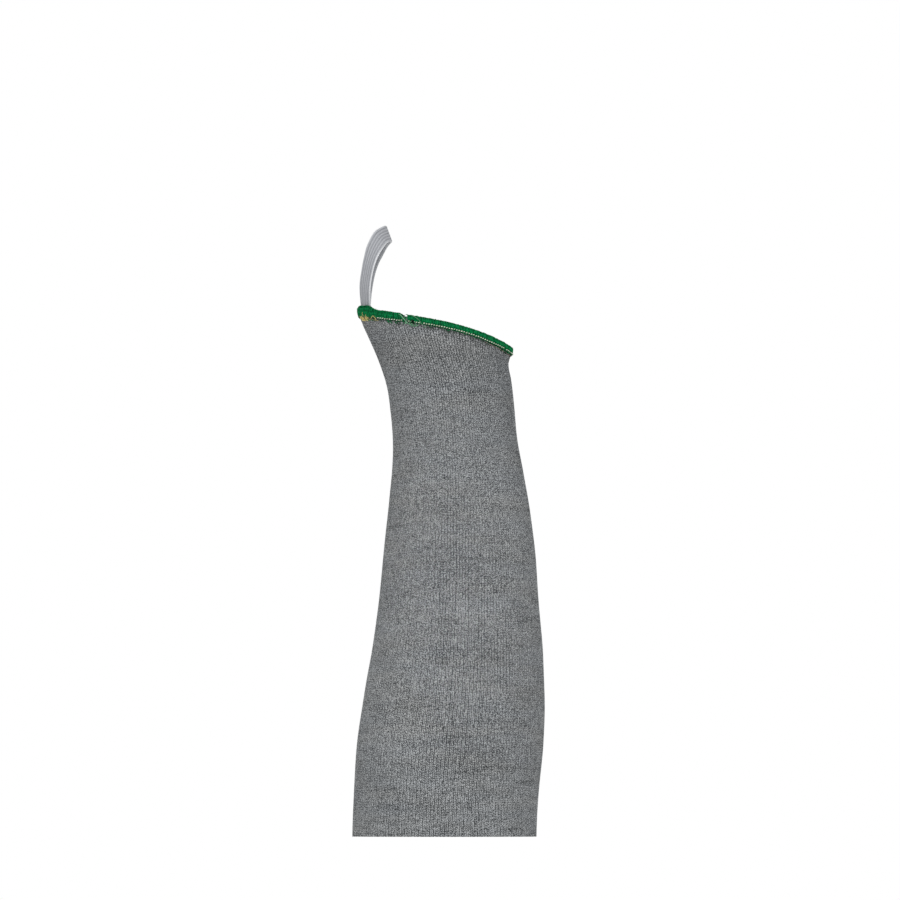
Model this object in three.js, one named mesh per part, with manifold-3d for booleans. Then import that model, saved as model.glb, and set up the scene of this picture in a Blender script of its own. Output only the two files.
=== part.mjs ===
// A cut resistant sleeve in the form that it has when worn: a seamless knitted tube, the overlocked edge
// of its cuff and an elastic loop for the thumb. Millimetres, +Z along the forearm towards the hand.
// The back of the hand's side faces -Y and the thumb is on the -X side. The origin is the middle of the
// wrist, where the sleeve grips. Angles run round the tube from +X towards +Y, the palm's side.
import * as THREE from "three";
import { mergeVertices } from "three/addons/utils/BufferGeometryUtils.js";
import Module from "manifold-3d";

// The tube's outer sizes. Front is from the axis to the back of the hand's side, back is to the palm's.
const armLength = 234; // from the hem to the narrowest part of the wrist
const wristWidth = 68.2;
const wristFront = 24;
const wristBack = 27;
const forearmWidth = 101.9;
const forearmFront = 41;
const forearmBack = 47;
const cuffWidth = 84.2;
const cuffFront = 23;
const cuffBack = 28;
const cuffShift = 9.5; // how far the cuff's middle lies towards the thumb

// The cuff's edge, measured up from the wrist.
const edgeThumb = 54.4; // height on the thumb's side
const edgeOuter = 33.4; // height on the little finger's side
const edgeBow = 3.1; // how much the edge arches up over the back of the hand
const edgeDip = 2; // how much it dips on the palm's side
const bowSkew = 0.8; // share by which the arch leans to the little finger's side

// Cloth, thread and elastic.
const knitThickness = 1.2;
const clearance = 0.3; // between the cloth, the thread and the elastic
const threadThickness = 0.7; // of the overlock on each face of the cloth
const crownThickness = 0.9; // of the overlock over the cloth's edge
const overlockDepth = 3.5; // how far the overlock reaches down from the cloth's edge
const tabRise = 1.8; // how much higher the overlock is where it wraps the foot of the elastic
const elasticWidth = 9.5;
const elasticThickness = 1;
const elasticTail = 6; // sewn in below the cloth's edge
const frontFootAngle = THREE.MathUtils.degToRad(200);
const backFootAngle = THREE.MathUtils.degToRad(160);

// The thumb loop's form above the cuff.
const loopRise = 43.5; // from the elastic's feet to the middle of the top
const loopRadius = 13; // the thumb's room round the loop's upright axis
const loopLean = 1; // the loop's axis lies this far from its feet towards the palm's middle

// How finely the solids are cut.
const stepsAround = 64;
const armRows = 14;
const handRows = 7;
const loopSteps = 44;

// Sections of the tube below the wrist, from the hem up. along is a share of armLength, swell runs from
// the wrist's size at 0 to the forearm's at 1, and sway is the middle's place as a share of forearmWidth.
const armSections = [
  { along: 1.0, swell: 0.965, sway: -0.043 },
  { along: 0.894, swell: 0.98, sway: -0.032 },
  { along: 0.788, swell: 1.0, sway: -0.013 },
  { along: 0.682, swell: 0.92, sway: 0.009 },
  { along: 0.565, swell: 0.76, sway: 0.026 },
  { along: 0.447, swell: 0.573, sway: 0.035 },
  { along: 0.329, swell: 0.43, sway: 0.038 },
  { along: 0.212, swell: 0.243, sway: 0.034 },
  { along: 0.141, swell: 0.114, sway: 0.029 },
  { along: 0.07, swell: 0.01, sway: 0.014 },
  { along: 0, swell: 0, sway: 0 },
];

// Sections above the wrist. along is a share of the way to the cuff's edge, swell runs from the wrist's
// size to the cuff's, and shift is a share of cuffShift. The last rows are the small flare at the edge.
const handSections = [
  { along: 0.25, swell: 0.07, shift: 0.14 },
  { along: 0.5, swell: 0.28, shift: 0.43 },
  { along: 0.75, swell: 0.56, shift: 0.82 },
  { along: 0.9, swell: 0.87, shift: 0.95 },
  { along: 1.0, swell: 1.0, shift: 1.0 },
];

// The elastic from its front foot to the top of the loop. turn is the place round the loop's axis in
// degrees, 0 at the web of the thumb; reach is a share of loopRadius and rise of loopRise. swing and tip
// turn the elastic's width from the level X direction, towards the palm's side and down, in degrees.
const loopSections = [
  { turn: -95, reach: 1.0, rise: 0.29, swing: -51, tip: 2 },
  { turn: -89, reach: 1.1, rise: 0.51, swing: -47, tip: 12 },
  { turn: -82, reach: 1.1, rise: 0.67, swing: -44, tip: 25 },
  { turn: -72, reach: 1.04, rise: 0.8, swing: -40, tip: 41 },
  { turn: -53, reach: 0.93, rise: 0.93, swing: -30, tip: 58 },
  { turn: -23, reach: 0.88, rise: 0.99, swing: -12, tip: 68 },
  { turn: 0, reach: 0.9, rise: 1.0, swing: 0, tip: 70 },
];

const edgeMiddle = (edgeThumb + edgeOuter) / 2;
const edgeTilt = (edgeThumb - edgeOuter) / 2;
const { lerp, degToRad } = THREE.MathUtils;

const sections = [
  ...armSections.map(({ along, swell, sway }) => ({
    along: -along * armLength,
    middle: sway * forearmWidth,
    half: lerp(wristWidth, forearmWidth, swell) / 2,
    front: lerp(wristFront, forearmFront, swell),
    back: lerp(wristBack, forearmBack, swell),
  })),
  ...handSections.map(({ along, swell, shift }) => ({
    along: along * edgeMiddle,
    middle: -shift * cuffShift,
    half: lerp(wristWidth, cuffWidth, swell) / 2,
    front: lerp(wristFront, cuffFront, swell),
    back: lerp(wristBack, cuffBack, swell),
  })),
];

// One column of the sections at any height: a smooth curve through the rows, straight past the last.
function sectionValue(column, along) {
  const last = sections.length - 1;
  const slope = (row) => {
    const below = sections[Math.max(row - 1, 0)];
    const above = sections[Math.min(row + 1, last)];
    return (above[column] - below[column]) / (above.along - below.along);
  };
  if (along >= sections[last].along) {
    return sections[last][column] + slope(last) * (along - sections[last].along);
  }
  const row = Math.max(sections.findIndex((section) => section.along > along) - 1, 0);
  const span = sections[row + 1].along - sections[row].along;
  const t = (along - sections[row].along) / span;
  return (
    sections[row][column] * (1 + 2 * t) * (1 - t) ** 2 +
    sections[row + 1][column] * t * t * (3 - 2 * t) +
    slope(row) * span * t * (1 - t) ** 2 -
    slope(row + 1) * span * t * t * (1 - t)
  );
}

// The height of the cloth's edge above the wrist.
function edgeHeight(angle) {
  const arch = Math.sin(angle) < 0 ? edgeBow * (1 + bowSkew * Math.cos(angle)) : -edgeDip;
  return edgeMiddle - edgeTilt * Math.cos(angle) + arch * Math.sin(angle) ** 2;
}

// A point of the tube's outer face. Above the wrist its rows tilt more and more, up to the cuff's edge.
function outerFace(along, angle) {
  const depth = sectionValue(Math.sin(angle) < 0 ? "front" : "back", along);
  return new THREE.Vector3(
    sectionValue("middle", along) + sectionValue("half", along) * Math.cos(angle),
    depth * Math.sin(angle),
    along < 0 ? along : (along / edgeMiddle) * edgeHeight(angle),
  );
}

// The directions at a point of the outer face: round the tube, up it, and out of it.
function faceDirections(along, angle) {
  const small = 0.01;
  const round = outerFace(along, angle + small).sub(outerFace(along, angle - small));
  const up = outerFace(along + small, angle).sub(outerFace(along - small, angle));
  const out = new THREE.Vector3().crossVectors(round, up);
  if (along <= 0) out.z = 0; // level below the wrist, so that the hem is flat
  return { round: round.normalize(), up: up.normalize(), out: out.normalize() };
}

// A point that lies out from the tube's outer face, or inside it where out is negative.
function offFace(along, angle, out) {
  return outerFace(along, angle).addScaledVector(faceDirections(along, angle).out, out);
}

// The same near the cuff's edge, with its distance up from the edge measured on the cloth.
function offEdge(up, angle, out) {
  const small = 0.01;
  const stretch = outerFace(edgeMiddle, angle).distanceTo(outerFace(edgeMiddle - small, angle)) / small;
  return offFace(edgeMiddle + up / stretch, angle, out);
}

// One closed body through rings of points. The last ring meets the first, or both ends are capped.
function loft(rings, ringOfRings) {
  const count = rings[0].length;
  const index = [];
  const joins = ringOfRings ? rings.length : rings.length - 1;
  for (let ring = 0; ring < joins; ring++) {
    const here = ring * count;
    const next = ((ring + 1) % rings.length) * count;
    for (let i = 0; i < count; i++) {
      const j = (i + 1) % count;
      index.push(here + i, here + j, next + j, here + i, next + j, next + i);
    }
  }
  if (!ringOfRings) {
    const end = (rings.length - 1) * count;
    for (let i = 1; i < count - 1; i++) {
      index.push(0, i + 1, i, end, end + i, end + i + 1);
    }
  }
  return new THREE.BufferGeometry().setFromPoints(rings.flat()).setIndex(index);
}

function anglesAround() {
  return Array.from({ length: stepsAround }, (_, i) => (i / stepsAround) * 2 * Math.PI);
}

function knitGeometry() {
  const heights = [];
  for (let row = 0; row < armRows; row++) heights.push(-armLength * (1 - row / armRows));
  for (let row = 0; row < handRows; row++) heights.push((edgeMiddle * row) / handRows);
  const rows = (out) => [
    ...heights.map((along) => anglesAround().map((angle) => offFace(along, angle, out))),
    ...[1, 0.5, 0].map((share) => anglesAround().map((angle) => offEdge(-overlockDepth * share, angle, out))),
  ];
  return loft([...rows(0), ...rows(-knitThickness).toReversed()], true);
}

// How much of a foot of the elastic lies behind the overlock at this angle, from 0 to 1.
function footShare(angle) {
  return [frontFootAngle, backFootAngle].reduce((most, foot) => {
    const away = offEdge(0, angle, 0).distanceTo(offEdge(0, foot, 0));
    return Math.max(most, 1 - THREE.MathUtils.smoothstep(away, elasticWidth * 0.4, elasticWidth));
  }, 0);
}

// The overlock is a channel over the cloth's edge. It is fuller inside and higher at the elastic's feet.
function overlockProfile(foot) {
  const outer = clearance + threadThickness;
  const inner = -knitThickness - clearance;
  const back = inner - threadThickness - foot * (elasticThickness + clearance);
  const top = clearance + crownThickness + foot * tabRise;
  const rounding = threadThickness * 0.5;
  return [
    { out: clearance, up: -overlockDepth },
    { out: outer - rounding, up: -overlockDepth },
    { out: outer, up: -overlockDepth + rounding },
    { out: outer, up: top * 0.3 },
    { out: outer - rounding, up: top * 0.8 },
    { out: -knitThickness / 2, up: top },
    { out: back + rounding, up: top * 0.8 },
    { out: back, up: top * 0.3 },
    { out: back, up: -overlockDepth + rounding },
    { out: back + rounding, up: -overlockDepth },
    { out: inner, up: -overlockDepth },
    { out: inner, up: clearance },
    { out: clearance, up: clearance },
  ];
}

function overlockGeometry() {
  const around = anglesAround().map((angle) => ({ angle, profile: overlockProfile(footShare(angle)) }));
  const points = overlockProfile(0).length;
  const rings = Array.from({ length: points }, (_, i) =>
    around.map(({ angle, profile }) => offEdge(profile[i].up, angle, profile[i].out)),
  );
  return loft(rings, true);
}

// A section of the elastic, as shares of its width and thickness, with rounded edges.
const elasticOutline = [
  ...[-0.46, -0.23, 0, 0.23, 0.46].map((across) => ({ across, deep: 0.5 })),
  ...[0.25, -0.25].map((deep) => ({ across: 0.5, deep })),
  ...[0.46, 0.23, 0, -0.23, -0.46].map((across) => ({ across, deep: -0.5 })),
  ...[-0.25, 0.25].map((deep) => ({ across: -0.5, deep })),
];

// The elastic's rows where it is sewn to the inside of the cuff and follows the cloth's curve. side is 1
// at the front foot, where its path goes up, and -1 at the back.
function footRows(angle, side, width, thickness) {
  const middle = -knitThickness - clearance - elasticThickness / 2;
  const perRadian = offEdge(0, angle - 0.05, middle).distanceTo(offEdge(0, angle + 0.05, middle)) / 0.1;
  const rows = [-elasticTail, -elasticTail / 2, 0, clearance + crownThickness + tabRise].map((up) =>
    elasticOutline.map(({ across, deep }) =>
      offEdge(up, angle + (side * across * width) / perRadian, middle + deep * thickness),
    ),
  );
  return side > 0 ? rows : rows.toReversed();
}

// The elastic's rows above the cuff. The loop's back is its front in a mirror.
function freeRows(frontFoot, backFoot, width, thickness) {
  const foot = frontFoot.clone().lerp(backFoot, 0.5);
  const turns = [
    ...loopSections.map((section) => ({ ...section, side: 1 })),
    ...loopSections.slice(0, -1).toReversed().map((section) => ({ ...section, side: -1 })),
  ];
  const centres = turns.map(
    ({ turn, reach, rise, side }) =>
      new THREE.Vector3(
        foot.x + loopLean + loopRadius * reach * Math.cos(degToRad(turn)),
        foot.y + loopRadius * reach * Math.sin(degToRad(turn)) * side,
        foot.z + loopRise * rise,
      ),
  );
  const path = [frontFoot, ...centres, backFoot];
  return turns.map(({ swing, tip, side }, i) => {
    const along = path[i + 2].clone().sub(path[i]).normalize();
    const across = new THREE.Vector3(
      Math.cos(degToRad(tip)) * Math.cos(degToRad(swing)),
      Math.cos(degToRad(tip)) * Math.sin(degToRad(swing)) * side,
      -Math.sin(degToRad(tip)),
    );
    across.addScaledVector(along, -across.dot(along)).normalize();
    const face = new THREE.Vector3().crossVectors(across, along);
    return elasticOutline.map((point) =>
      centres[i]
        .clone()
        .addScaledVector(across, point.across * width)
        .addScaledVector(face, point.deep * thickness),
    );
  });
}

// The elastic from foot to foot, smooth through its rows.
function elasticGeometry(width, thickness) {
  const frontFoot = offEdge(0, frontFootAngle, -knitThickness - clearance);
  const backFoot = offEdge(0, backFootAngle, -knitThickness - clearance);
  const rows = [
    ...footRows(frontFootAngle, 1, width, thickness),
    ...freeRows(frontFoot, backFoot, width, thickness),
    ...footRows(backFootAngle, -1, width, thickness),
  ];
  const strands = elasticOutline.map(
    (_, i) => new THREE.CatmullRomCurve3(rows.map((row) => row[i]), false, "catmullrom", 0.5),
  );
  const rings = Array.from({ length: loopSteps + 1 }, (_, i) =>
    strands.map((strand) => strand.getPoint(i / loopSteps)),
  );
  return loft(rings, false);
}

const wasm = await Module();
wasm.setup();

function toSolid(geometry) {
  const merged = mergeVertices(geometry, 1e-4);
  return new wasm.Manifold(
    new wasm.Mesh({
      numProp: 3,
      vertProperties: new Float32Array(merged.attributes.position.array),
      triVerts: new Uint32Array(merged.index.array),
    }),
  );
}

function fromSolid(solid) {
  const { vertProperties, triVerts } = solid.getMesh();
  return new THREE.BufferGeometry()
    .setAttribute("position", new THREE.BufferAttribute(vertProperties, 3))
    .setIndex(new THREE.BufferAttribute(triVerts, 1));
}

function namedMesh(name, geometry, material) {
  geometry.computeVertexNormals();
  const mesh = new THREE.Mesh(geometry, new THREE.MeshStandardMaterial(material));
  mesh.name = name;
  return mesh;
}

const elasticRoom = elasticGeometry(elasticWidth + 2 * clearance, elasticThickness + 2 * clearance);
const overlock = fromSolid(toSolid(overlockGeometry()).subtract(toSolid(elasticRoom)));

const sleeve = new THREE.Group();
sleeve.add(
  namedMesh("knit_sleeve", knitGeometry(), { color: 0x7b7d7f, roughness: 0.95, metalness: 0 }),
  namedMesh("cuff_overlock", overlock, { color: 0x0e6b41, roughness: 0.9, metalness: 0 }),
  namedMesh("thumb_elastic", elasticGeometry(elasticWidth, elasticThickness), {
    color: 0xd8d9dc,
    roughness: 0.7,
    metalness: 0,
  }),
);

export default sleeve;
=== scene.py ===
# A knitted cut resistant sleeve in its worn form, with its overlocked cuff edge and thumb elastic.
# The form is worked out in millimetres in the part's frame: +Z runs towards the hand, and the back of
# the hand's side faces -Y. Angles run round the tube from +X towards +Y.
import math
import random

import bpy
import numpy as np
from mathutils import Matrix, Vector


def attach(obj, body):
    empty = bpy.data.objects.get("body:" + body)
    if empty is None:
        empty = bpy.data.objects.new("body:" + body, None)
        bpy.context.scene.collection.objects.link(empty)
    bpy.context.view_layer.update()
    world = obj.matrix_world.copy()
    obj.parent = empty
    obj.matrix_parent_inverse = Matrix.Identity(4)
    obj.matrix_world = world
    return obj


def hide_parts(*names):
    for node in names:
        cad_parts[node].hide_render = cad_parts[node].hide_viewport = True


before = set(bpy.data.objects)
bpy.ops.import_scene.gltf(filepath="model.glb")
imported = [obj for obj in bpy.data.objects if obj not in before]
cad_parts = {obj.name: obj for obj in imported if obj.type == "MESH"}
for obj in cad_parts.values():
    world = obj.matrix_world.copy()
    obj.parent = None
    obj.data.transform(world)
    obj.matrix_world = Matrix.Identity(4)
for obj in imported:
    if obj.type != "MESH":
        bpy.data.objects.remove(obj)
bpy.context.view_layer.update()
mm = 0.001
random.seed(14)

# The tube's sizes, the same as the solids'
tube = {
    "armLength": 234, "wristWidth": 68.2, "wristFront": 24, "wristBack": 27,
    "forearmWidth": 101.9, "forearmFront": 41, "forearmBack": 47,
    "cuffWidth": 84.2, "cuffFront": 23, "cuffBack": 28, "cuffShift": 9.5,
    "edgeThumb": 54.4, "edgeOuter": 33.4, "edgeBow": 3.1, "edgeDip": 2, "bowSkew": 0.8,
    "wall": 1.2,
}
armRows = [  # share of the arm's length, swell, sway
    (1.0, 0.965, -0.043), (0.894, 0.98, -0.032), (0.788, 1.0, -0.013), (0.682, 0.92, 0.009),
    (0.565, 0.76, 0.026), (0.447, 0.573, 0.035), (0.329, 0.43, 0.038), (0.212, 0.243, 0.034),
    (0.141, 0.114, 0.029), (0.07, 0.01, 0.014), (0, 0, 0),
]
handRows = [  # share of the way to the cuff's edge, swell, shift towards the thumb
    (0.25, 0.07, 0.14), (0.5, 0.28, 0.43), (0.75, 0.56, 0.82), (0.9, 0.87, 0.95), (1.0, 1.0, 1.0),
]
edgeMiddle = (tube["edgeThumb"] + tube["edgeOuter"]) / 2
edgeTilt = (tube["edgeThumb"] - tube["edgeOuter"]) / 2
small = 0.01  # step in mm or radians for finding a direction


def mix(a, b, share):
    return a + (b - a) * share


def sectionRow(along, middle, swell, end):
    # end names the end of the tube that the section swells towards
    return (along, middle, mix(tube["wristWidth"], tube[end + "Width"], swell) / 2,
            mix(tube["wristFront"], tube[end + "Front"], swell),
            mix(tube["wristBack"], tube[end + "Back"], swell))


def sectionTable():
    rows = [sectionRow(-along * tube["armLength"], sway * tube["forearmWidth"], swell, "forearm")
            for along, swell, sway in armRows]
    rows += [sectionRow(along * edgeMiddle, -shift * tube["cuffShift"], swell, "cuff")
             for along, swell, shift in handRows]
    columns = np.array(rows).T
    return dict(zip(("along", "middle", "half", "front", "back"), columns))


sections = sectionTable()


def sectionValue(column, along):
    # a smooth curve through the table's rows
    t, v = sections["along"], sections[column]
    slope = np.empty_like(v)
    slope[1:-1] = (v[2:] - v[:-2]) / (t[2:] - t[:-2])
    slope[0] = (v[1] - v[0]) / (t[1] - t[0])
    slope[-1] = (v[-1] - v[-2]) / (t[-1] - t[-2])
    row = np.clip(np.searchsorted(t, along, side="right") - 1, 0, len(t) - 2)
    span = t[row + 1] - t[row]
    s = (along - t[row]) / span
    inside = (v[row] * (1 + 2 * s) * (1 - s) ** 2 + v[row + 1] * s * s * (3 - 2 * s)
              + slope[row] * span * s * (1 - s) ** 2 - slope[row + 1] * span * s * s * (1 - s))
    return np.where(along >= t[-1], v[-1] + slope[-1] * (along - t[-1]), inside)


def edgeHeight(angle):
    bow = tube["edgeBow"] * (1 + tube["bowSkew"] * np.cos(angle))
    arch = np.where(np.sin(angle) < 0, bow, -tube["edgeDip"])
    return edgeMiddle - edgeTilt * np.cos(angle) + arch * np.sin(angle) ** 2


def outerFace(along, angle):
    along, angle = np.broadcast_arrays(np.asarray(along, float), np.asarray(angle, float))
    depth = np.where(np.sin(angle) < 0, sectionValue("front", along), sectionValue("back", along))
    x = sectionValue("middle", along) + sectionValue("half", along) * np.cos(angle)
    z = np.where(along < 0, along, along / edgeMiddle * edgeHeight(angle))
    return np.stack([x, depth * np.sin(angle), z], -1)


def unit(v):
    return v / np.linalg.norm(v, axis=-1, keepdims=True)


def offFace(along, angle, out):
    # a point at a distance out of the tube's outer face
    along, angle = np.broadcast_arrays(np.asarray(along, float), np.asarray(angle, float))
    around = outerFace(along, angle + small) - outerFace(along, angle - small)
    up = outerFace(along + small, angle) - outerFace(along - small, angle)
    outward = np.cross(around, up)
    outward[..., 2] = np.where(along <= 0, 0, outward[..., 2])
    return outerFace(along, angle) + unit(outward) * np.asarray(out, float)[..., None]


def offEdge(up, angle, out):
    # the same, with the height measured on the cloth from the cuff's edge
    up, angle, out = np.broadcast_arrays(*(np.asarray(value, float) for value in (up, angle, out)))
    edge = np.full_like(angle, edgeMiddle)
    stretch = np.linalg.norm(outerFace(edge, angle) - outerFace(edge - small, angle), axis=-1) / small
    return offFace(edgeMiddle + up / stretch, angle, out)


def throughPoints(before, a, b, later, f):
    # a smooth curve that runs from a to b as f goes from 0 to 1
    return 0.5 * (2 * a + (b - before) * f + (2 * before - 5 * a + 4 * b - later) * f ** 2
                  + (3 * a - before - 3 * b + later) * f ** 3)


def makePiece(name, points, faces, node=None):
    mesh = bpy.data.meshes.new(name)
    mesh.from_pydata((np.asarray(points) * mm).tolist(), [], faces)
    mesh.update()
    mesh.shade_smooth()
    piece = bpy.data.objects.new(name, mesh)
    bpy.context.scene.collection.objects.link(piece)
    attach(piece, "root")
    if node:
        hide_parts(node)
    return piece


def cornerPoints(mesh):
    # the point that each corner of each face stands on
    index = np.empty(len(mesh.loops), np.int32)
    mesh.loops.foreach_get("vertex_index", index)
    return index


def addGrid(mesh, name, u, v):
    layer = mesh.uv_layers.new(name=name)
    layer.data.foreach_set("uv", np.stack([u, v], -1).astype(np.float32).ravel())


def linear(hexColour):
    # sRGB to the linear values that the nodes take
    channels = [int(hexColour[i:i + 2], 16) / 255 for i in (1, 3, 5)]
    return tuple(c / 12.92 if c <= 0.04045 else ((c + 0.055) / 1.055) ** 2.4 for c in channels) + (1.0,)


def addNode(tree, kind, inputs=(), output=0, stops=(), **settings):
    # adds one shader node with its settings and links, and gives one of its outputs; an input is a
    # number, a colour or another node's output; a kind in capitals is an operation of the Math node
    if kind.isupper():
        kind, settings["operation"] = "Math", kind
    node = tree.nodes.new("ShaderNode" + kind)
    for key, value in settings.items():
        setattr(node, key, value)
    for key, value in inputs.items() if isinstance(inputs, dict) else enumerate(inputs):
        if isinstance(value, bpy.types.NodeSocket):
            tree.links.new(value, node.inputs[key])
        else:
            node.inputs[key].default_value = value
    if stops:
        marks = node.color_ramp.elements
        while len(marks) < len(stops):
            marks.new(0.5)
        for mark, (position, colour) in zip(marks, stops):
            mark.position = position
            mark.color = colour
    return node.outputs[output]


def newMaterial(name, constants):
    material = bpy.data.materials.new(name)
    material.use_nodes = True
    shader = material.node_tree.nodes["Principled BSDF"]
    for key, value in constants.items():
        shader.inputs[key].default_value = value
    return material, material.node_tree, shader


def perMetre(size):
    # a noise's scale from the size of its grain in mm
    return 1 / (size * mm)


# Knitted cloth, in mm where no other unit is given
knit = {
    "wales": 156, "pointsPerWale": 4, "waleWidth": 1.9, "courseSpacing": 1.29,
    "armRings": 57, "handRings": 14, "rim": 0.3,  # the rim's first ring is close, so it stays crisp
    "relief": 0.14,  # from the ridge of a wale to the gap beside it
    "sunk": 0.6,  # share of the relief that lies under the solid's face
    "ripple": 0.25,  # slow waviness, which ends near the cuff's edge
    "waves": ((2, 95, 0.4, 1.0), (3, 61, 2.1, 0.7), (5, 38, 4.0, 0.45), (7, 27, 1.2, 0.25)),
    "calm": 12,
    "dark": "#3e4042", "middle": "#838587", "light": "#c3c5c7",
    "unevenness": 0.35,  # wales by which the wales wander
    "stagger": 0.6,  # courses by which a wale may stand higher than the next
    "legRise": 0.8,  # courses from the middle of a stitch to its side
    "flecks": 0.015,  # share of the stitches that are pale
    "gapShadeCourses": (165.0, 208.0),  # courses from the hem between which the gaps darken
    "cloudy": (0.0, 215.0),  # and between which the cloudy patches fade
    "fibre": 0.4878,  # far coarser than a real fibre, so that it shows
    "bumpHeight": 0.35,
}


def slowWaves(along, angle):
    waves = np.zeros(np.broadcast(along, angle).shape)
    for turns, length, phase, size in knit["waves"]:
        waves = waves + size * np.sin(turns * angle + along * 2 * math.pi / length + phase)
    return waves / sum(wave[-1] for wave in knit["waves"])


def makeKnit():
    columns = knit["wales"] * knit["pointsPerWale"]
    angle = np.arange(columns) / columns * 2 * math.pi + math.pi / 2
    along = np.concatenate([np.linspace(-tube["armLength"], 0, knit["armRings"])[:-1],
                            np.linspace(0, edgeMiddle, knit["handRings"]),
                            [knit["rim"] - tube["armLength"], edgeMiddle - knit["rim"]]])
    along = np.sort(along)
    wale = np.arange(columns) / knit["pointsPerWale"]
    grid, gridAngle = np.meshgrid(along, angle, indexing="ij")
    relief = knit["relief"] * (np.sin(math.pi * wale) ** 2 - knit["sunk"])
    calm = np.clip((edgeMiddle - grid) / knit["calm"], 0, 1)
    waves = knit["ripple"] * slowWaves(grid, gridAngle) * calm
    outer = offFace(grid, gridAngle, relief[None, :] + waves)
    inner = offFace(grid, gridAngle, -tube["wall"] + waves)
    points = np.concatenate([outer.reshape(-1, 3), inner[::-1].reshape(-1, 3)])
    rings = 2 * len(along)
    ring, column = np.meshgrid(np.arange(rings), np.arange(columns), indexing="ij")
    after, beside = (ring + 1) % rings, (column + 1) % columns
    faces = np.stack([ring * columns + column, ring * columns + beside,
                      after * columns + beside, after * columns + column], -1).reshape(-1, 4)
    cloth = makePiece("knitTube", points, faces.tolist(), "knit_sleeve")
    # wales and courses as a grid, so that the stitches follow the cloth
    course = (along + tube["armLength"]) / knit["courseSpacing"]
    course = np.concatenate([course, course[::-1]])
    u = np.stack([column, column + 1, column + 1, column], -1) / knit["pointsPerWale"]
    v = np.stack([course[ring], course[ring], course[after], course[after]], -1)
    addGrid(cloth.data, "knitGrid", u, v)
    return cloth


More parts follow.
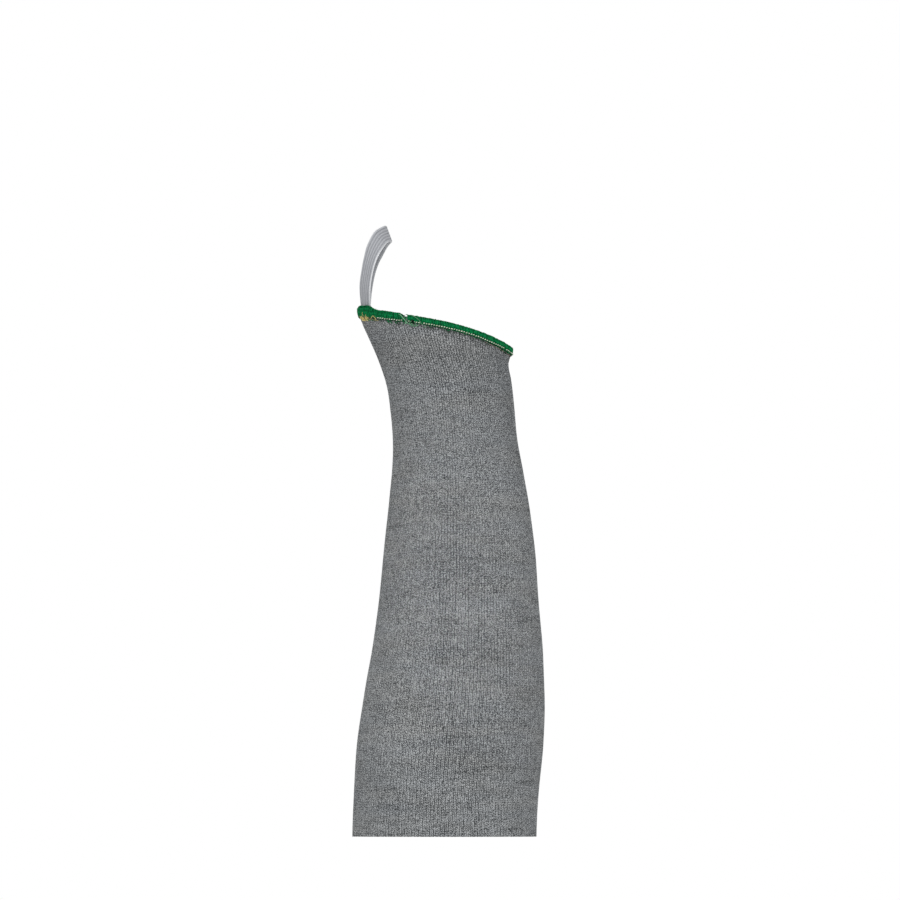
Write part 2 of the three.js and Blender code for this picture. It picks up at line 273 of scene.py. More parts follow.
def knitMaterial():
    # jersey knitted of spun grey marl yarn: matt and hairy, each stitch a little lighter or darker, with
    # painted shade in the gaps between the wales and between the stitches' legs, and soft streaks along the
    # courses
    constants = {"Roughness": 0.95, "Specular IOR Level": 0.2}
    material, tree, shader = newMaterial("greyMarlJersey", constants)
    place = addNode(tree, "TexCoord", output="Object")
    grid = addNode(tree, "SeparateXYZ", [addNode(tree, "UVMap", uv_map="knitGrid")]).node.outputs
    u, v = grid[0], grid[1]

    def streak(perWale, perCourse, detail, seed):
        # noise in space, so that it has no seam where the grid's two sides meet
        across, up = perWale * perMetre(knit["waleWidth"]), perCourse * perMetre(knit["courseSpacing"])
        moved = addNode(tree, "VectorMath", [place, (across, across, up)], operation="MULTIPLY")
        lifted = addNode(tree, "VectorMath", [moved, (0, 0, seed)], operation="ADD")
        return addNode(tree, "TexNoise", {"Vector": lifted, "Scale": 1.0, "Detail": detail})

    # the knitting is a little uneven, and the courses don't run quite level from wale to wale
    wander = addNode(tree, "SUBTRACT", [streak(0.35, 0.35, 2.0, 0.0), 0.5])
    shift = addNode(tree, "MULTIPLY", [wander, knit["unevenness"]])
    uMoved = addNode(tree, "ADD", [u, shift])
    fromMiddle = addNode(tree, "SUBTRACT", [addNode(tree, "FRACT", [uMoved]), 0.5])
    side = addNode(tree, "MULTIPLY", [addNode(tree, "ABSOLUTE", [fromMiddle]), 2.0])
    waleIndex = addNode(tree, "FLOOR", [uMoved])
    stagger = addNode(tree, "TexWhiteNoise", {"W": waleIndex}, noise_dimensions="1D")
    waver = addNode(tree, "ADD", [addNode(tree, "MULTIPLY", [shift, 4.0]),
                                  addNode(tree, "MULTIPLY", [stagger, knit["stagger"]])])
    vLeg = addNode(tree, "ADD", [addNode(tree, "ADD", [v, waver]),
                                 addNode(tree, "MULTIPLY", [side, knit["legRise"]])])
    # each leg of a stitch is a short rounded rise; in the colour it also gives painted light on the crest
    # and painted shade where the legs meet
    rounded = []
    for across, power in ((side, 0.6), (addNode(tree, "FRACT", [vLeg]), 0.7)):
        arc = addNode(tree, "SINE", [addNode(tree, "MULTIPLY", [across, math.pi])])
        rounded.append(addNode(tree, "MAXIMUM", [addNode(tree, "POWER", [arc, power]), 0.0]))
    stitch = addNode(tree, "MULTIPLY", rounded)
    # one shade for each leg of each stitch
    legIndex = addNode(tree, "FLOOR", [addNode(tree, "MULTIPLY", [uMoved, 2.0])])
    cell = addNode(tree, "CombineXYZ", [legIndex, addNode(tree, "FLOOR", [vLeg]), 0.0])
    stitchShade = addNode(tree, "TexWhiteNoise", {"Vector": cell}, noise_dimensions="3D")
    fleck = addNode(tree, "GREATER_THAN", [stitchShade, 1 - knit["flecks"]])
    # painted shade in the gap beside each wale, deeper in some gaps than in others, and most near the cuff
    gapIndex = addNode(tree, "FLOOR", [addNode(tree, "ADD", [uMoved, 0.5])])
    gapShadeAmount = addNode(tree, "TexWhiteNoise", {"W": gapIndex}, noise_dimensions="1D")
    depth = addNode(tree, "ADD", [0.45, addNode(tree, "MULTIPLY", [gapShadeAmount, 0.6])])
    gapShade = addNode(tree, "MULTIPLY", [addNode(tree, "POWER", [side, 4.0]), depth])
    low, high = knit["gapShadeCourses"]
    nearCuff = addNode(tree, "MapRange", [v, low, high, 1.0, 3.0])
    gapShade = addNode(tree, "MULTIPLY", [gapShade, nearCuff])
    # cloudy patches, plainer towards the cuff, and a few dark slubs along the courses
    marl = streak(0.6, 1.0, 2.0, 3.1)
    cloud = addNode(tree, "ADD", [addNode(tree, "MULTIPLY", [streak(0.12, 0.36, 2.0, 8.7), 0.5]),
                                  addNode(tree, "MULTIPLY", [streak(0.03, 0.06, 2.0, 5.3), 0.5])])
    low, high = knit["cloudy"]
    cloudShare = addNode(tree, "MapRange", [v, low, high, 1.5, 0.6])
    patches = addNode(tree, "MULTIPLY", [addNode(tree, "SUBTRACT", [cloud, 0.5]), cloudShare])
    slub = addNode(tree, "MapRange", [streak(0.07, 0.5, 2.0, 21.7), 0.6, 0.72])
    fibre = addNode(tree, "TexNoise", {"Vector": place, "Scale": perMetre(knit["fibre"]), "Detail": 1.0})
    tone = 0.362
    # the gap term is painted shade, and the stitch term adds painted light on the legs' crests and painted
    # shade where they meet
    for source, middle, weight in (  # what darkens or lightens the yarn, its middle value and its share
            (stitchShade, 0.5, 0.2), (marl, 0.5, 0.2), (patches, 0.0, 0.6), (slub, 0.05, -0.16),
            (fibre, 0.5, 3.3), (stitch, 0.4, 0.78), (gapShade, 0.2, -0.48), (fleck, 0.0, 0.3)):
        change = addNode(tree, "MULTIPLY", [addNode(tree, "SUBTRACT", [source, middle]), weight])
        tone = addNode(tree, "ADD", [tone, change])
    shades = [(0.0, linear(knit["dark"])), (0.5, linear(knit["middle"])), (1.0, linear(knit["light"]))]
    colour = addNode(tree, "ValToRGB", [tone], stops=shades)
    # the fibres of the yarn are a touch bluer here and warmer there
    tint = addNode(tree, "ValToRGB", [streak(0.05, 0.15, 1.0, 11.9)],
                   stops=[(0.3, (0.98, 1.0, 1.01, 1)), (0.7, (1.005, 1.003, 0.982, 1))])
    tinted = addNode(tree, "Mix", {0: 1.0, 6: colour, 7: tint}, 2,
                     data_type="RGBA", blend_type="MULTIPLY")
    height = addNode(tree, "ADD", [stitch, addNode(tree, "MULTIPLY", [fibre, 0.5])])
    bump = addNode(tree, "Bump", {"Strength": 0.9, "Distance": knit["bumpHeight"] * mm, "Height": height})
    rough = addNode(tree, "ADD", [0.88, addNode(tree, "MULTIPLY", [fibre, 0.12])])
    for key, value in (("Base Color", tinted), ("Normal", bump), ("Roughness", rough)):
        tree.links.new(value, shader.inputs[key])
    return material


cloth = makeKnit()
cloth.data.materials.append(knitMaterial())
print("knitted tube made")

# Overlocked edge, in mm and in degrees round the tube
overlock = {
    "clearance": 0.3, "reach": 3.5, "wrapSpacing": 0.44, "wrapRadius": 0.28,
    "wrapOut": 0.35, "wrapTop": 0.55,  # from the clearance to the middle of the thread
    "footFront": 200, "footBack": 160, "bandWidth": 9.5, "bandThickness": 1.0, "tabRise": 1.8,
    "lean": (-0.35, 0.6), "leanVaries": 0.3,  # every other wrap leans the other way
    "bulge": (-0.1, 0.14), "short": (0.0, 0.9), "waver": 0.05, "lift": 0.06, "fullness": (0.85, 1.2),
    "gapAngle": (244.6, 249.4),  # the chain starts and ends here
    "fullAngle": (205, 243), "fullRise": 0.45,  # the chain's first wraps are piled a little higher
    "baseDepth": 0.22, "baseSteps": 240,
    "green": "#07864a", "shade": "#034a2b", "deep": "#045a34", "deepShade": "#033d23", "foot": "#2f4a3a",
}
crestRows = range(4, 8)  # the points of a wrap that lie over the cloth's edge
thread = {
    "end": 0.55,  # share of its thickness that a thread's ends have
    "fibre": 0.4545, "blotch": 1.111, "packed": 0.6667,  # grains coarser than real ones, so that they show
}


def footShare(angle):
    # 1 over the elastic's feet, down to 0 one width of the elastic away from their middles
    most = np.zeros_like(angle)
    for foot in (overlock["footFront"], overlock["footBack"]):
        away = np.linalg.norm(offEdge(0, angle, 0) - offEdge(0, math.radians(foot), 0), axis=-1)
        low, high = overlock["bandWidth"] * 0.4, overlock["bandWidth"]
        s = np.clip((away - low) / (high - low), 0, 1)
        most = np.maximum(most, 1 - s * s * (3 - 2 * s))
    return most


def tubeFaces(rings, sides, start=0):
    # quads between the rings of a closed tube, and a cap at each end
    faces = []
    for ring in range(rings - 1):
        for j in range(sides):
            a, b = start + ring * sides + j, start + ring * sides + (j + 1) % sides
            faces.append((a, b, b + sides, a + sides))
    last = start + (rings - 1) * sides
    faces.append(tuple(start + j for j in reversed(range(sides))))
    faces.append(tuple(last + j for j in range(sides)))
    return faces


def makeThreads(name, paths, radii, node=None, sides=5):
    # closed round threads along lists of points
    points, faces, runs, start = [], [], [], 0
    around = np.arange(sides) / sides * 2 * math.pi
    for path, radius in zip(paths, radii):
        path = np.asarray(path, float)
        count = len(path)
        tangent = unit(np.gradient(path, axis=0))
        # a direction that doesn't run along the thread
        guide = (0.31, 0.2, 0.93) if abs(tangent[0][2]) < 0.9 else (0.9, 0.3, 0.1)
        first = unit(np.cross(tangent, guide))
        second = np.cross(tangent, first)
        taper = np.ones(count)
        taper[0] = taper[-1] = thread["end"]
        ring = (path[:, None, :] + (first[:, None, :] * np.cos(around)[None, :, None]
                + second[:, None, :] * np.sin(around)[None, :, None]) * (radius * taper)[:, None, None])
        points.append(ring.reshape(-1, 3))
        runs.append(np.repeat(np.linspace(0, 1, count), sides))
        faces += tubeFaces(count, sides, start)
        start += count * sides
    piece = makePiece(name, np.concatenate(points), faces, node)
    index = cornerPoints(piece.data)
    addGrid(piece.data, "threadRun", (index % sides) / sides, np.concatenate(runs)[index])
    return piece


def anglesByLength(spacing):
    # angles round the cuff at even distances along its edge, and the edge's length
    fine = np.linspace(0, 2 * math.pi, 4001)
    points = offEdge(0, fine, 0)
    length = np.concatenate([[0], np.cumsum(np.linalg.norm(np.diff(points, axis=0), axis=-1))])
    count = int(round(length[-1] / spacing))
    return np.interp(np.arange(count) / count * length[-1], length, fine), length[-1]


def inGap(angle):
    low, high = (math.radians(a) for a in overlock["gapAngle"])
    return low < angle % (2 * math.pi) < high


def pileRise(angle):
    low, high = overlock["fullAngle"]
    return np.where((np.degrees(angle) > low) & (np.degrees(angle) < high), overlock["fullRise"], 0.0)


def wrapProfile(foot, shrink=0.0):
    # the route of the thread over the edge, from the outside's needle line to the inside's: each
    # point's distance out of the cloth's face and its height above the edge
    c, w = overlock["clearance"], tube["wall"]
    outer = c + overlock["wrapOut"] - shrink
    back = -w - c - overlock["wrapOut"] - foot * (overlock["bandThickness"] + c) + shrink
    top = c + overlock["wrapTop"] + foot * overlock["tabRise"] - shrink
    reach = -overlock["reach"] + shrink
    return [(outer - 0.25, reach), (outer, reach + 0.6), (outer + 0.05, reach * 0.45),
            (outer, top * 0.1), (outer - 0.2, top * 0.7), (-w * 0.35, top),
            (mix(back, -w * 0.35, 0.35), top), (back + 0.12, top * 0.6), (back, top * 0.1),
            (back, reach * 0.45), (back, reach + 0.6), (back + 0.2, reach)]


def makeWraps():
    angles, length = anglesByLength(overlock["wrapSpacing"])
    paths, radii = [], []
    for i, angle in enumerate(angles):
        if inGap(angle):
            continue
        foot = float(footShare(np.array([angle]))[0])
        lean = overlock["lean"][i % 2] + random.uniform(-overlock["leanVaries"], overlock["leanVaries"])
        bulge = random.uniform(*overlock["bulge"])
        short = random.uniform(*overlock["short"]) if i % 2 else 0.0
        crest = bulge + pileRise(angle)
        profile = wrapProfile(foot)
        path = []
        for k, (out, up) in enumerate(profile):
            up = max(up, -overlock["reach"] + short)
            share = k / (len(profile) - 1)
            drift = (lean * math.sin(math.pi * (share - 0.5))
                     + random.uniform(-overlock["waver"], overlock["waver"]))
            side = 1 if out > -tube["wall"] / 2 else -1
            rise = random.uniform(-overlock["lift"], overlock["lift"]) + (crest if k in crestRows else 0)
            turned = angle + drift / length * 2 * math.pi
            path.append(offEdge(up + rise, turned, out + side * bulge * 0.5))
        paths.append(path)
        radii.append(overlock["wrapRadius"] * random.uniform(*overlock["fullness"]))
    return makeThreads("overlockThread", paths, radii, "cuff_overlock")


def makeBase():
    # the dense thread under the wraps, round the cloth's edge and open in the gap
    around = np.linspace(0, 2 * math.pi, overlock["baseSteps"] + 1)[:-1]
    profiles = np.array([wrapProfile(share, overlock["baseDepth"]) for share in footShare(around)])
    rings = []
    for k in range(profiles.shape[1]):
        out, up = profiles[:, k, 0], profiles[:, k, 1]
        rings.append(offEdge(up + (pileRise(around) if k in crestRows else 0), around, out))
    inside, outside, foot = -tube["wall"] - 0.1, 0.1, -overlock["reach"] + 0.3  # close on the cloth
    for out, up in ((inside, foot), (inside, 0.1), (outside, 0.1), (outside, foot)):
        rings.append(offEdge(up, around, out))
    count, total = len(around), len(rings)
    bare = [inGap(angle) for angle in around]
    faces = []
    for i in range(count):
        j = (i + 1) % count
        if bare[i] and bare[j]:
            continue
        for ring in range(total):
            after = (ring + 1) % total
            faces.append((ring * count + i, ring * count + j, after * count + j, after * count + i))
        if bare[j]:
            faces.append(tuple(ring * count + j for ring in range(total)))
        if bare[i]:
            faces.append(tuple(ring * count + i for ring in reversed(range(total))))
    return makePiece("overlockBase", np.concatenate(rings), faces, "cuff_overlock")


def threadMaterial(name, light, dark, foot=None, plies=9.0):
    # spun and twisted polyester thread: fine slanted plies with little shine, and with a foot's
    # colour it is darker where it goes into the cloth
    material, tree, shader = newMaterial(name, {"Roughness": 0.7, "Specular IOR Level": 0.08})
    uv = addNode(tree, "UVMap", uv_map="threadRun")
    place = addNode(tree, "TexCoord", output="Object")
    run = addNode(tree, "SeparateXYZ", [uv]).node.outputs
    turn = addNode(tree, "ADD", [addNode(tree, "MULTIPLY", [run[1], plies]), run[0]])
    ply = addNode(tree, "SINE", [addNode(tree, "MULTIPLY", [addNode(tree, "FRACT", [turn]), math.pi])])
    fibre = addNode(tree, "TexNoise", {"Vector": place, "Scale": perMetre(thread["fibre"]), "Detail": 1.0})
    blotch = addNode(tree, "TexNoise", {"Vector": place, "Scale": perMetre(thread["blotch"]), "Detail": 2.0})
    # the plies are painted lighter on their crests and darker in the grooves between them: painted light and
    # shade
    tone = addNode(tree, "ADD", [addNode(tree, "MULTIPLY", [fibre, 0.7]),
                                 addNode(tree, "MULTIPLY", [ply, 0.3])])
    uneven = addNode(tree, "MULTIPLY", [addNode(tree, "SUBTRACT", [blotch, 0.5]), 1.2])
    tone = addNode(tree, "ADD", [tone, uneven])
    colour = addNode(tree, "ValToRGB", [tone], stops=[(0.2, linear(dark)), (0.8, linear(light))])
    if foot:
        low = addNode(tree, "SUBTRACT", [1.0, addNode(tree, "MULTIPLY", [run[1], 5.5])])
        share = addNode(tree, "MULTIPLY", [addNode(tree, "MAXIMUM", [low, 0.0]), 0.8])
        colour = addNode(tree, "Mix", {0: share, 6: colour, 7: linear(foot)}, 2, data_type="RGBA")
    bump = addNode(tree, "Bump", {"Strength": 0.6, "Distance": 0.1 * mm, "Height": tone})
    for key, value in (("Base Color", colour), ("Normal", bump)):
        tree.links.new(value, shader.inputs[key])
    return material


def baseMaterial():
    # packed polyester looper thread: matt and deep green, seen only between the wraps
    constants = {"Roughness": 0.8, "Specular IOR Level": 0.15}
    material, tree, shader = newMaterial("deepGreenThread", constants)
    place = addNode(tree, "TexCoord", output="Object")
    fibre = addNode(tree, "TexNoise", {"Vector": place, "Scale": perMetre(thread["packed"]), "Detail": 2.0})
    colour = addNode(tree, "ValToRGB", [fibre], stops=[(0.3, linear(overlock["deepShade"])),
                                                       (0.7, linear(overlock["deep"]))])
    bump = addNode(tree, "Bump", {"Strength": 0.8, "Distance": 0.2 * mm, "Height": fibre})
    for key, value in (("Base Color", colour), ("Normal", bump)):
        tree.links.new(value, shader.inputs[key])
    return material


greenThread = threadMaterial("greenPolyesterThread", overlock["green"], overlock["shade"],
                             overlock["foot"])
deepThread = baseMaterial()
makeWraps().data.materials.append(greenThread)
makeBase().data.materials.append(deepThread)
print("overlocked edge made")

# White stitches of the needle thread along the foot of the overlock, in mm and degrees
needle = {
    "spacing": 1.4, "out": 1.02, "up": 0.95,  # out of each face, and up from the overlock's foot
    "hidden": (139.4, 220.6),  # the elastic's feet cover the stitches here
    "missing": 0.06,  # share of the stitches that are sunk out of sight
    "drop": 0.35,  # how much lower they lie under the piled wraps
    "halfLength": (0.27, 0.36), "radius": (0.25, 0.31), "lift": 0.12, "bow": 0.22,
    "shape": ((-1, -0.12, -0.6), (-0.5, 0.0, 1), (0.5, 0.06, 1), (1, 0.16, -0.6)),  # run, rise, bow
    "white": "#f6f7ea", "shade": "#b9c3a4",
}


def makeNeedleLine():
    angles, length = anglesByLength(needle["spacing"])
    turn = 2 * math.pi / length
    low, high = needle["hidden"]
    paths, radii = [], []
    for angle in angles:
        here = math.degrees(angle)
        if inGap(angle) or low < here < high or random.random() < needle["missing"]:
            continue
        drop = needle["drop"] if high < here < overlock["fullAngle"][1] else 0.0
        up = -overlock["reach"] + needle["up"]
        for out in (needle["out"], -tube["wall"] - needle["out"]):
            lift = random.uniform(-needle["lift"], needle["lift"])
            half = random.uniform(*needle["halfLength"])
            outward = math.copysign(needle["bow"], out)
            level = up + lift - drop
            paths.append([offEdge(level + rise, angle + turn * half * run, out + outward * bow)
                          for run, rise, bow in needle["shape"]])
            radii.append(random.uniform(*needle["radius"]))
    return makeThreads("needleStitches", paths, radii)


needleLine = makeNeedleLine()
whiteThread = threadMaterial("whiteNeedleThread", needle["white"], needle["shade"], plies=3.0)
needleLine.data.materials.append(whiteThread)
print("needle stitches made")

# Loose threads where the overlock starts and ends, at the elastic's foot and along the outer side, and
# near-black strands at the knot that are painted shade. A stray is the number of strands, the ranges of
# their angle in degrees, height, length and distance out, and their slant in radians. A run is a thread
# through points: angle, height and distance out.
loose = {
    "greenEnds": {
        "radius": 0.17, "light": overlock["green"], "dark": overlock["deep"],
        "strays": ((24, (250, 258), (-4.2, 1.0), (1.6, 4.2), (0.4, 0.95), 1.2),
                   (16, (192, 226), (0.2, 2.6), (1.2, 2.6), (0.5, 0.95), 0.3),
                   (10, (262, 354), (-3.9, -3.4), (0.8, 1.8), (0.25, 0.5), 0.1),
                   (16, (200, 242), (-4.2, -3.4), (1.0, 2.4), (0.25, 0.6), 0.1),
                   (16, (244, 250), (-3.8, -0.6), (0.9, 2.0), (0.2, 0.5), 1.3)),
        "runs": (),
    },
    "mintEnds": {
        "radius": 0.15, "light": "#86b794", "dark": "#5f9a72",
        "strays": ((14, (245, 261), (-4.9, -3.3), (1.0, 2.4), (0.5, 0.9), 0.6),),
        "runs": (
            ((242.6, 1.0, 0.7), (243.6, 0.3, 1.1), (245.0, -1.0, 1.1), (246.6, -2.3, 1.0),
             (247.8, -3.6, 0.7)),
            ((243.4, 0.9, 0.7), (244.4, 0.2, 1.0), (245.8, -1.1, 1.0), (247.2, -2.4, 0.9),
             (248.3, -3.9, 0.6)),
            ((252.5, 0.9, 0.9), (255, 0.3, 1.25), (257.5, -0.8, 1.3), (259, -2.2, 1.2),
             (259.5, -3.4, 0.9)),
            ((249, -3.8, 0.7), (251, -4.6, 0.5), (253, -5.0, 0.4), (255.5, -4.6, 0.4), (257, -3.9, 0.6)),
            ((246, -4.4, 0.5), (248, -3.7, 0.8), (250, -4.4, 0.6), (252, -3.9, 0.7)),
        ),
    },
    "yellowEnds": {
        "radius": 0.17, "light": "#e6d694", "dark": "#bba867",
        "strays": ((36, (190, 206), (-4.5, -3.1), (1.4, 3.4), (0.5, 1.0), 0.0),),
        "runs": (
            ((204, -4.0, 0.5), (208, -4.25, 0.5), (213, -4.15, 0.42), (217, -4.4, 0.4),
             (221, -4.5, 0.36)),
            ((212, -4.0, 0.7), (214, -3.2, 1.1), (216.4, -2.0, 1.3), (218, -2.6, 1.25),
             (219.2, -3.6, 1.1), (217.5, -4.3, 0.6)),
        ),
    },
    "beigeThread": {
        "radius": 0.13, "light": "#a08c7d", "dark": "#85705f", "strays": (),
        "runs": (((311, -3.75, 0.3), (318, -3.95, 0.34), (325, -3.8, 0.3), (333, -4.05, 0.36),
                  (340, -3.85, 0.3), (347, -4.0, 0.34), (354, -3.8, 0.3)),),
    },
    "fuzzEnds": {
        "radius": 0.13, "light": "#5a6b60", "dark": "#2f4438",
        "strays": ((64, (258, 356), (-4.5, -3.7), (0.8, 2.2), (0.15, 0.35), 0.0),
                   (26, (204, 244), (-4.6, -3.8), (0.8, 2.2), (0.15, 0.35), 0.0)),
        "runs": (),
    },
    # painted shade: near-black strands that stand for the shaded hole at the knot
    "knotShadeStrands": {
        "radius": 0.24, "light": "#04301b", "dark": "#021509",
        "strays": ((12, (252.2, 253.8), (-3.4, -2.2), (0.6, 1.1), (1.15, 1.3), 1.5),), "runs": (),
    },
}
stray = {
    "steps": 4, "mmPerDegree": 0.62,  # along the cuff's edge
    "curl": 1.3, "lift": 0.25, "lowest": -5.2, "highest": 1.0, "thickness": (0.8, 1.2),
}


def smoothPath(points, perStep=5):
    # a curve through points given as angle in degrees, height and distance out
    points = np.array(points, float)
    t = np.linspace(0, len(points) - 1, (len(points) - 1) * perStep + 1)
    i = np.clip(t.astype(int), 0, len(points) - 2)
    line = throughPoints(points[np.maximum(i - 1, 0)], points[i], points[i + 1],
                         points[np.minimum(i + 2, len(points) - 1)], (t - i)[:, None])
    return offEdge(line[:, 1], np.radians(line[:, 0]), line[:, 2])


def strayStrands(count, angles, heights, lengths, outs, slant):
    # short curled ends of thread that lie on the edge
    paths, steps = [], stray["steps"]
    for _ in range(count):
        angle, up = random.uniform(*angles), random.uniform(*heights)
        length, heading = random.uniform(*lengths), random.gauss(slant, 1.0)
        curl, out = random.uniform(-stray["curl"], stray["curl"]), random.uniform(*outs)
        points = []
        for k in range(steps + 1):
            points.append((angle, up, out + stray["lift"] * math.sin(k * 1.1 + curl)))
            angle += math.cos(heading) * length / steps / stray["mmPerDegree"]
            up += math.sin(heading) * length / steps
            up = min(max(up, stray["lowest"]), stray["highest"])
            heading += curl / steps
        paths.append(smoothPath(points, 3))
    return paths


def makeLooseThreads():
    paths = {}
    for name in ("greenEnds", "fuzzEnds", "mintEnds", "yellowEnds", "beigeThread", "knotShadeStrands"):
        paths[name] = [path for group in loose[name]["strays"] for path in strayStrands(*group)]
        paths[name] += [smoothPath(run) for run in loose[name]["runs"]]
    for name, look in loose.items():
        radii = [look["radius"] * random.uniform(*stray["thickness"]) for _ in paths[name]]
        material = threadMaterial(name + "Thread", look["light"], look["dark"], plies=14.0)
        makeThreads(name, paths[name], radii, sides=6).data.materials.append(material)


makeLooseThreads()
print("loose threads made")

# Thumb elastic, in mm
elastic = {
    "width": overlock["bandWidth"], "thickness": overlock["bandThickness"], "tail": 6.0,
    "crown": 0.9,  # how thick the overlock is over the cloth's edge
    "rise": 43.5, "radius": 13.0, "lean": 1.0, "steps": 180,
    "ribs": 6, "perRib": 6, "ribDepth": 0.22, "softEdge": 0.05,  # as a share of the width
    "weftPerMm": 2.2, "fibre": 0.6667,  # the fibre is coarser than a real one, so that it shows
    # painted rim light: a whiter strip along each edge of the band
    "rimLight": (0.44, 0.475),  # from the middle, as shares of the width
    "white": "#b5b7bc", "shade": "#919398", "rimLightWhite": "#e4e5e8",
}
loopRows = [  # turn in degrees, reach and rise as shares, swing and tip of the band in degrees
    (-95, 1.0, 0.29, -51, 2), (-89, 1.1, 0.51, -47, 12), (-82, 1.1, 0.67, -44, 25),
    (-72, 1.04, 0.8, -40, 41), (-53, 0.93, 0.93, -30, 58), (-23, 0.88, 0.99, -12, 68),
    (0, 0.9, 1.0, 0, 70),
]


def elasticOutline():
    # across the band's front face in ribs, then back across its other face
    across = np.linspace(-0.5, 0.5, elastic["ribs"] * elastic["perRib"] + 1)
    ridge = np.abs(np.sin((across + 0.5) * elastic["ribs"] * math.pi)) ** 0.7
    edge = np.clip((0.5 - np.abs(across)) / elastic["softEdge"], 0, 1) ** 0.5
    deep = (0.5 * elastic["thickness"] - elastic["ribDepth"] * (1 - ridge)) * (0.45 + 0.55 * edge)
    return np.concatenate([np.stack([across, deep], -1), np.stack([across[::-1], -deep[::-1]], -1)])


def footRing(angle, side, up, outline):
    middle = -tube["wall"] - overlock["clearance"] - elastic["thickness"] / 2
    a, b = offEdge(0, angle - 0.05, middle), offEdge(0, angle + 0.05, middle)
    perRadian = np.linalg.norm(b - a) / 0.1
    across = outline[:, 0] * elastic["width"]
    return offEdge(up, angle + side * across / perRadian, middle + outline[:, 1])


def makeElastic():
    outline = elasticOutline()
    front, back = math.radians(overlock["footFront"]), math.radians(overlock["footBack"])
    inner = -tube["wall"] - overlock["clearance"]
    frontFoot, backFoot = offEdge(0, front, inner), offEdge(0, back, inner)
    ups = [-elastic["tail"], -elastic["tail"] / 2, 0,
           overlock["clearance"] + elastic["crown"] + overlock["tabRise"]]
    foot = (frontFoot + backFoot) / 2
    # up the front leg, over the thumb and down the back leg, which mirrors the front one
    turns = [row + (1,) for row in loopRows] + [row + (-1,) for row in loopRows[-2::-1]]
    centres = []
    for turn, reach, rise, _, _, side in turns:
        r, turn = elastic["radius"] * reach, math.radians(turn)
        centres.append(foot + np.array([elastic["lean"] + r * math.cos(turn), r * math.sin(turn) * side,
                                        elastic["rise"] * rise]))
    path = [frontFoot] + centres + [backFoot]
    rows = [footRing(front, 1, up, outline) for up in ups]
    for i, (_, _, _, swing, tip, side) in enumerate(turns):
        along = unit(path[i + 2] - path[i])
        swing, tip = math.radians(swing), math.radians(tip)
        across = np.array([math.cos(tip) * math.cos(swing), math.cos(tip) * math.sin(swing) * side,
                           -math.sin(tip)])
        across = unit(across - along * across.dot(along))
        face = np.cross(across, along)
        rows.append(centres[i] + outline[:, :1] * elastic["width"] * across + outline[:, 1:] * face)
    rows += [footRing(back, -1, up, outline) for up in reversed(ups)]
    rows = np.array(rows)
    # smooth rings between the rows, which run straight on past both ends
    ended = np.concatenate([[2 * rows[0] - rows[1]], rows, [2 * rows[-1] - rows[-2]]])
    t = np.linspace(0, len(rows) - 1, elastic["steps"])
    i = np.clip(t.astype(int), 0, len(rows) - 2)
    rings = throughPoints(ended[i], ended[i + 1], ended[i + 2], ended[i + 3], (t - i)[:, None, None])
    count = len(outline)
    band = makePiece("thumbBand", rings.reshape(-1, 3), tubeFaces(len(rings), count),
                     "thumb_elastic")
    run = np.concatenate([[0], np.cumsum(np.linalg.norm(np.diff(rings[:, 0], axis=0), axis=-1))])
    index = cornerPoints(band.data)
    across = (outline[:, 0] + 0.5)[index % count] * elastic["width"]
    addGrid(band.data, "bandGrid", across, run[index // count])
    return band


def elasticMaterial():
    # woven elastic of rubber cords covered in white polyester, with a soft sheen and close weft threads
    # across the ribs; ribs and wefts are painted lighter on their crests and darker between them as painted
    # light and shade, and a whiter strip without ribs along each edge is painted rim light
    constants = {"Roughness": 0.7, "Specular IOR Level": 0.3, "Sheen Weight": 0.15}
    material, tree, shader = newMaterial("whiteWovenElastic", constants)
    uv = addNode(tree, "UVMap", uv_map="bandGrid")
    place = addNode(tree, "TexCoord", output="Object")
    grid = addNode(tree, "SeparateXYZ", [uv]).node.outputs
    width = elastic["width"]
    rib = addNode(tree, "FRACT", [addNode(tree, "MULTIPLY", [grid[0], elastic["ribs"] / width])])
    ridge = addNode(tree, "SINE", [addNode(tree, "MULTIPLY", [rib, math.pi])])
    pick = addNode(tree, "ADD", [addNode(tree, "MULTIPLY", [grid[1], elastic["weftPerMm"]]),
                                 addNode(tree, "MULTIPLY", [ridge, 0.35])])
    weft = addNode(tree, "SINE", [addNode(tree, "MULTIPLY", [addNode(tree, "FRACT", [pick]), math.pi])])
    fibre = addNode(tree, "TexNoise", {"Vector": place, "Scale": perMetre(elastic["fibre"]), "Detail": 2.0})
    # the ridges of the ribs and the weft threads are lighter on their crests and darker between them:
    # painted light and shade
    tone = 0.0
    for source, weight in ((addNode(tree, "POWER", [ridge, 2.0]), 0.8), (weft, 0.2), (fibre, 0.1)):
        tone = addNode(tree, "ADD", [tone, addNode(tree, "MULTIPLY", [source, weight])])
    colour = addNode(tree, "ValToRGB", [tone], stops=[(0.07, linear(elastic["shade"])),
                                                      (1.0, linear(elastic["white"]))])
    # painted rim light: a whiter strip along each edge of the band, without the ribs' colour
    fromMiddle = addNode(tree, "ABSOLUTE", [addNode(tree, "SUBTRACT", [grid[0], width / 2])])
    low, high = elastic["rimLight"]
    rimLight = addNode(tree, "MapRange", [fromMiddle, low * width, high * width, 0.0, 1.0])
    edged = addNode(tree, "Mix", {0: rimLight, 6: colour, 7: linear(elastic["rimLightWhite"])}, 2,
                    data_type="RGBA")
    height = addNode(tree, "ADD", [addNode(tree, "MULTIPLY", [weft, 0.5]), fibre])
    bump = addNode(tree, "Bump", {"Strength": 0.5, "Distance": 0.1 * mm, "Height": height})
    for key, value in (("Base Color", edged), ("Normal", bump)):
        tree.links.new(value, shader.inputs[key])
    return material


band = makeElastic()
band.data.materials.append(elasticMaterial())
print("thumb elastic made")

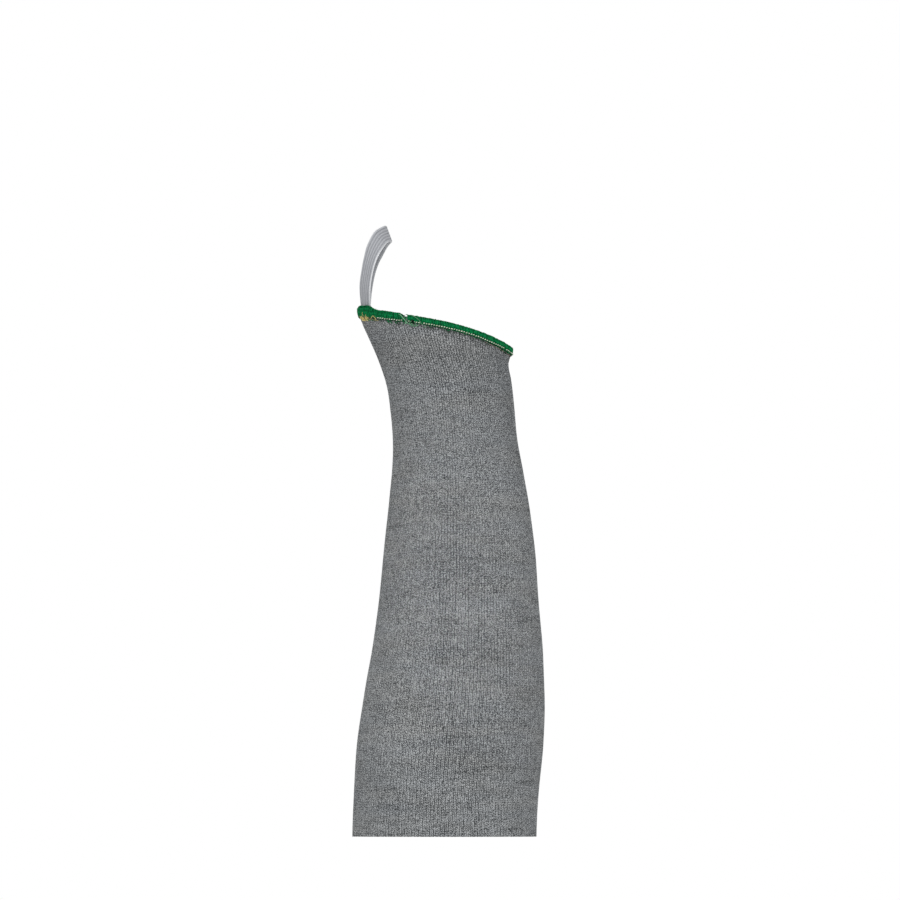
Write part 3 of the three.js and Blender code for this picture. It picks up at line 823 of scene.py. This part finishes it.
# Floor, light and camera, in mm
studio = {
    "pixel": 0.55, "distance": 2750.0, "middle": (-1.3, -22.0), "eyeHeight": -224.0,
    "imageWidth": 900, "sensor": 36,
    "floorGap": 40.0, "worldStrength": 0.5,
    "sweepWidth": 5000, "sweepFront": -2600, "sweepBack": 2200, "sweepBend": 800, "sweepHeight": 3200,
    "lights": [  # place, size, power in W
        ((-1500, -1700, 900), 1500, 17), ((1500, -1700, 800), 1500, 14), ((0, -900, 2200), 1600, 8),
    ],
    "lightsAim": (0, 0, -80),
}


def makeSweep():
    # a pale sweep: the floor runs back, then curves up behind
    floor, half = -tube["armLength"] - studio["floorGap"], studio["sweepWidth"] / 2
    bend, back = studio["sweepBend"], studio["sweepBack"]
    profile = [(studio["sweepFront"], 0.0), (back - bend, 0.0)]
    profile += [(back - bend + bend * math.sin(a), bend - bend * math.cos(a))
                for a in np.linspace(0, math.pi / 2, 17)[1:]]
    profile.append((back, studio["sweepHeight"]))
    points = [(x * mm, y * mm, (z + floor) * mm) for y, z in profile for x in (-half, half)]
    faces = [(2 * i, 2 * i + 1, 2 * i + 3, 2 * i + 2) for i in range(len(profile) - 1)]
    mesh = bpy.data.meshes.new("sweep")
    mesh.from_pydata(points, [], faces)
    mesh.shade_smooth()
    sweep = bpy.data.objects.new("sweep", mesh)
    bpy.context.scene.collection.objects.link(sweep)
    # matt rolled paper, overlit behind the sleeve, so that the camera sees it white
    constants = {"Roughness": 0.9, "Base Color": linear("#e7e7e7")}
    material, tree, shader = newMaterial("palePaper", constants)
    glow = addNode(tree, "Emission", {"Color": (1, 1, 1, 1), "Strength": 1.0})
    seen = addNode(tree, "LightPath", output="Is Camera Ray")
    both = addNode(tree, "MixShader", [seen, shader.outputs[0], glow])
    tree.links.new(both, tree.nodes["Material Output"].inputs["Surface"])
    mesh.materials.append(material)


def makeLight():
    # the surroundings are as white as the sweep to the camera, and dimmer as light
    world = bpy.data.worlds.new("studio")
    bpy.context.scene.world = world
    world.use_nodes = True
    tree, soft = world.node_tree, studio["worldStrength"]
    background = tree.nodes["Background"]
    background.inputs["Color"].default_value = (1, 1, 1, 1)
    seen = addNode(tree, "LightPath", output="Is Camera Ray")
    strength = addNode(tree, "ADD", [addNode(tree, "MULTIPLY", [seen, 1.0 - soft]), soft])
    tree.links.new(strength, background.inputs["Strength"])
    for i, (place, size, power) in enumerate(studio["lights"]):
        light = bpy.data.lights.new(f"softbox{i + 1}", "AREA")
        light.shape = "SQUARE"
        light.size = size * mm
        light.energy = power
        lamp = bpy.data.objects.new(light.name, light)
        bpy.context.scene.collection.objects.link(lamp)
        lamp.location = Vector(place) * mm
        aim = Vector(studio["lightsAim"]) * mm
        lamp.rotation_euler = (aim - lamp.location).to_track_quat("-Z", "Y").to_euler()


def makeCamera():
    x, z = studio["middle"]
    aim = Vector((x * mm, 0, z * mm))
    rise = math.asin((z - studio["eyeHeight"]) / studio["distance"])
    lens = bpy.data.cameras.new("camera")
    lens.sensor_width = studio["sensor"]
    lens.lens = studio["sensor"] * studio["distance"] / (studio["imageWidth"] * studio["pixel"])
    lens.clip_end = 20
    camera = bpy.data.objects.new("camera", lens)
    bpy.context.scene.collection.objects.link(camera)
    camera.location = aim - studio["distance"] * mm * Vector((0, math.cos(rise), math.sin(rise)))
    camera.rotation_euler = (aim - camera.location).to_track_quat("-Z", "Y").to_euler()
    bpy.context.scene.camera = camera


makeSweep()
makeLight()
makeCamera()
bpy.context.scene.view_settings.view_transform = "Standard"
print("studio made")
